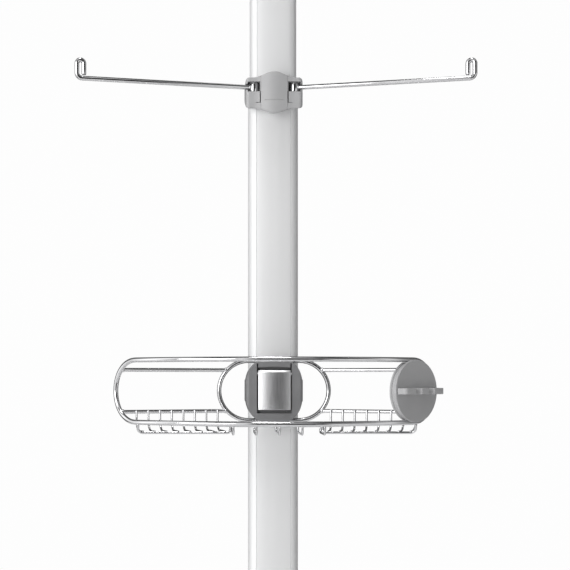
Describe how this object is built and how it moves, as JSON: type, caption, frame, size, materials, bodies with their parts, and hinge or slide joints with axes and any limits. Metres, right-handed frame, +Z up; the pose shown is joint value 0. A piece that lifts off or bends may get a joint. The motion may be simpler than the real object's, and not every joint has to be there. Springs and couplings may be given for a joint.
{
  "type": "tension pole shower caddy",
  "caption": "Telescoping tension pole that wedges between floor and ceiling, with swinging towel arms, a sliding wire basket, a soap dish and a brush holder.",
  "frame": {"origin": "centre of the base pad's underside, where the pole stands on the floor", "axes": "+Z up along the pole; -Y is the front, towards the user; +X is the user's right"},
  "size_m": [0.3876, 0.1601, 1.5435],
  "materials": {
    "alu": "satin anodised",
    "chrome": "polished wire",
    "grey_plastic": "fine moulded texture",
    "dark_plastic": "moulded",
    "brushed_plate": "brushed lengthwise",
    "steel": "plain",
    "rubber": "matte"
  },
  "bodies": {
    "root": {"lower_pole": "alu", "base_pad": "rubber", "base_foot": "grey_plastic", "base_screw": "steel", "collar_body": "grey_plastic", "collar_cover": "grey_plastic", "collar_screw_left": "steel", "collar_screw_right": "steel", "lock_pad": "dark_plastic", "arm_pin_left": "steel", "arm_pin_right": "steel"},
    "inner_section": {"upper_pole": "alu", "guide_bush": "dark_plastic", "spring_seat": "dark_plastic", "top_guide": "dark_plastic"},
    "spring_foot": {"tension_spring": "steel", "top_plunger": "steel", "top_foot": "grey_plastic", "top_pad": "rubber"},
    "left_arm": {"towel_arm_left": "chrome", "arm_barrel_left": "chrome"},
    "right_arm": {"towel_arm_right": "chrome", "arm_barrel_right": "chrome"},
    "pole_lock": {"lock_knob": "dark_plastic", "lock_screw": "steel"},
    "basket": {"clamp_body": "grey_plastic", "lever_pin": "steel", "rear_loop": "chrome", "front_loop": "chrome", "rear_rail_lower_left": "chrome", "rear_rail_lower_right": "chrome", "rear_rail_upper_left": "chrome", "rear_rail_upper_right": "chrome", "floor_grid_left": "chrome", "floor_grid_right": "chrome", "soap_dish": "chrome"},
    "lever": {"clamp_lever": "dark_plastic", "lever_plate": "brushed_plate"},
    "brake_pad": {"clamp_pad": "rubber"},
    "brush_holder": {"holder_disc": "grey_plastic", "holder_shelf": "grey_plastic"}
  },
  "joints": [
    {"name": "upper_pole_slide", "type": "slide", "parent": "root", "child": "inner_section", "axis": [0, 0, 1], "range_m": [0, 0.93]},
    {"name": "top_foot_slide", "type": "slide", "parent": "inner_section", "child": "spring_foot", "axis": [0, 0, 1], "range_m": [-0.03, 0], "stiffness_N_per_m": 1500, "springref_m": 0.02, "deforming": ["tension_spring"]},
    {"name": "left_arm_swing", "type": "hinge", "parent": "root", "child": "left_arm", "pos_m": [-0.02, -0.019, 1.1474], "axis": [0, 0, 1], "range_deg": [-13.2, 75]},
    {"name": "right_arm_swing", "type": "hinge", "parent": "root", "child": "right_arm", "pos_m": [0.02, -0.019, 1.1474], "axis": [0, 0, -1], "range_deg": [-13.2, 75]},
    {"name": "pole_lock_turn", "type": "hinge", "parent": "root", "child": "pole_lock", "pos_m": [0, 0, 1.1544], "axis": [0, 1, 0], "range_deg": [0, 720]},
    {"name": "basket_slide", "type": "slide", "parent": "root", "child": "basket", "axis": [0, 0, 1], "range_m": [-0.7, 0.23]},
    {"name": "clamp_lever_flip", "type": "hinge", "parent": "basket", "child": "lever", "pos_m": [0, -0.0254, 0.8625], "axis": [-1, 0, 0], "range_deg": [0, 70]},
    {"name": "brake_pad_slide", "type": "slide", "parent": "basket", "child": "brake_pad", "axis": [0, -1, 0], "range_m": [0, 0.0004]},
    {"name": "brush_holder_pull", "type": "slide", "parent": "basket", "child": "brush_holder", "axis": [0.6461, -0.7632, 0], "range_m": [0, 0.05]}
  ],
  "couplings": [
    {"joint": "brake_pad_slide", "follows": "clamp_lever_flip", "m_per_rad": 0.0003}
  ]
}
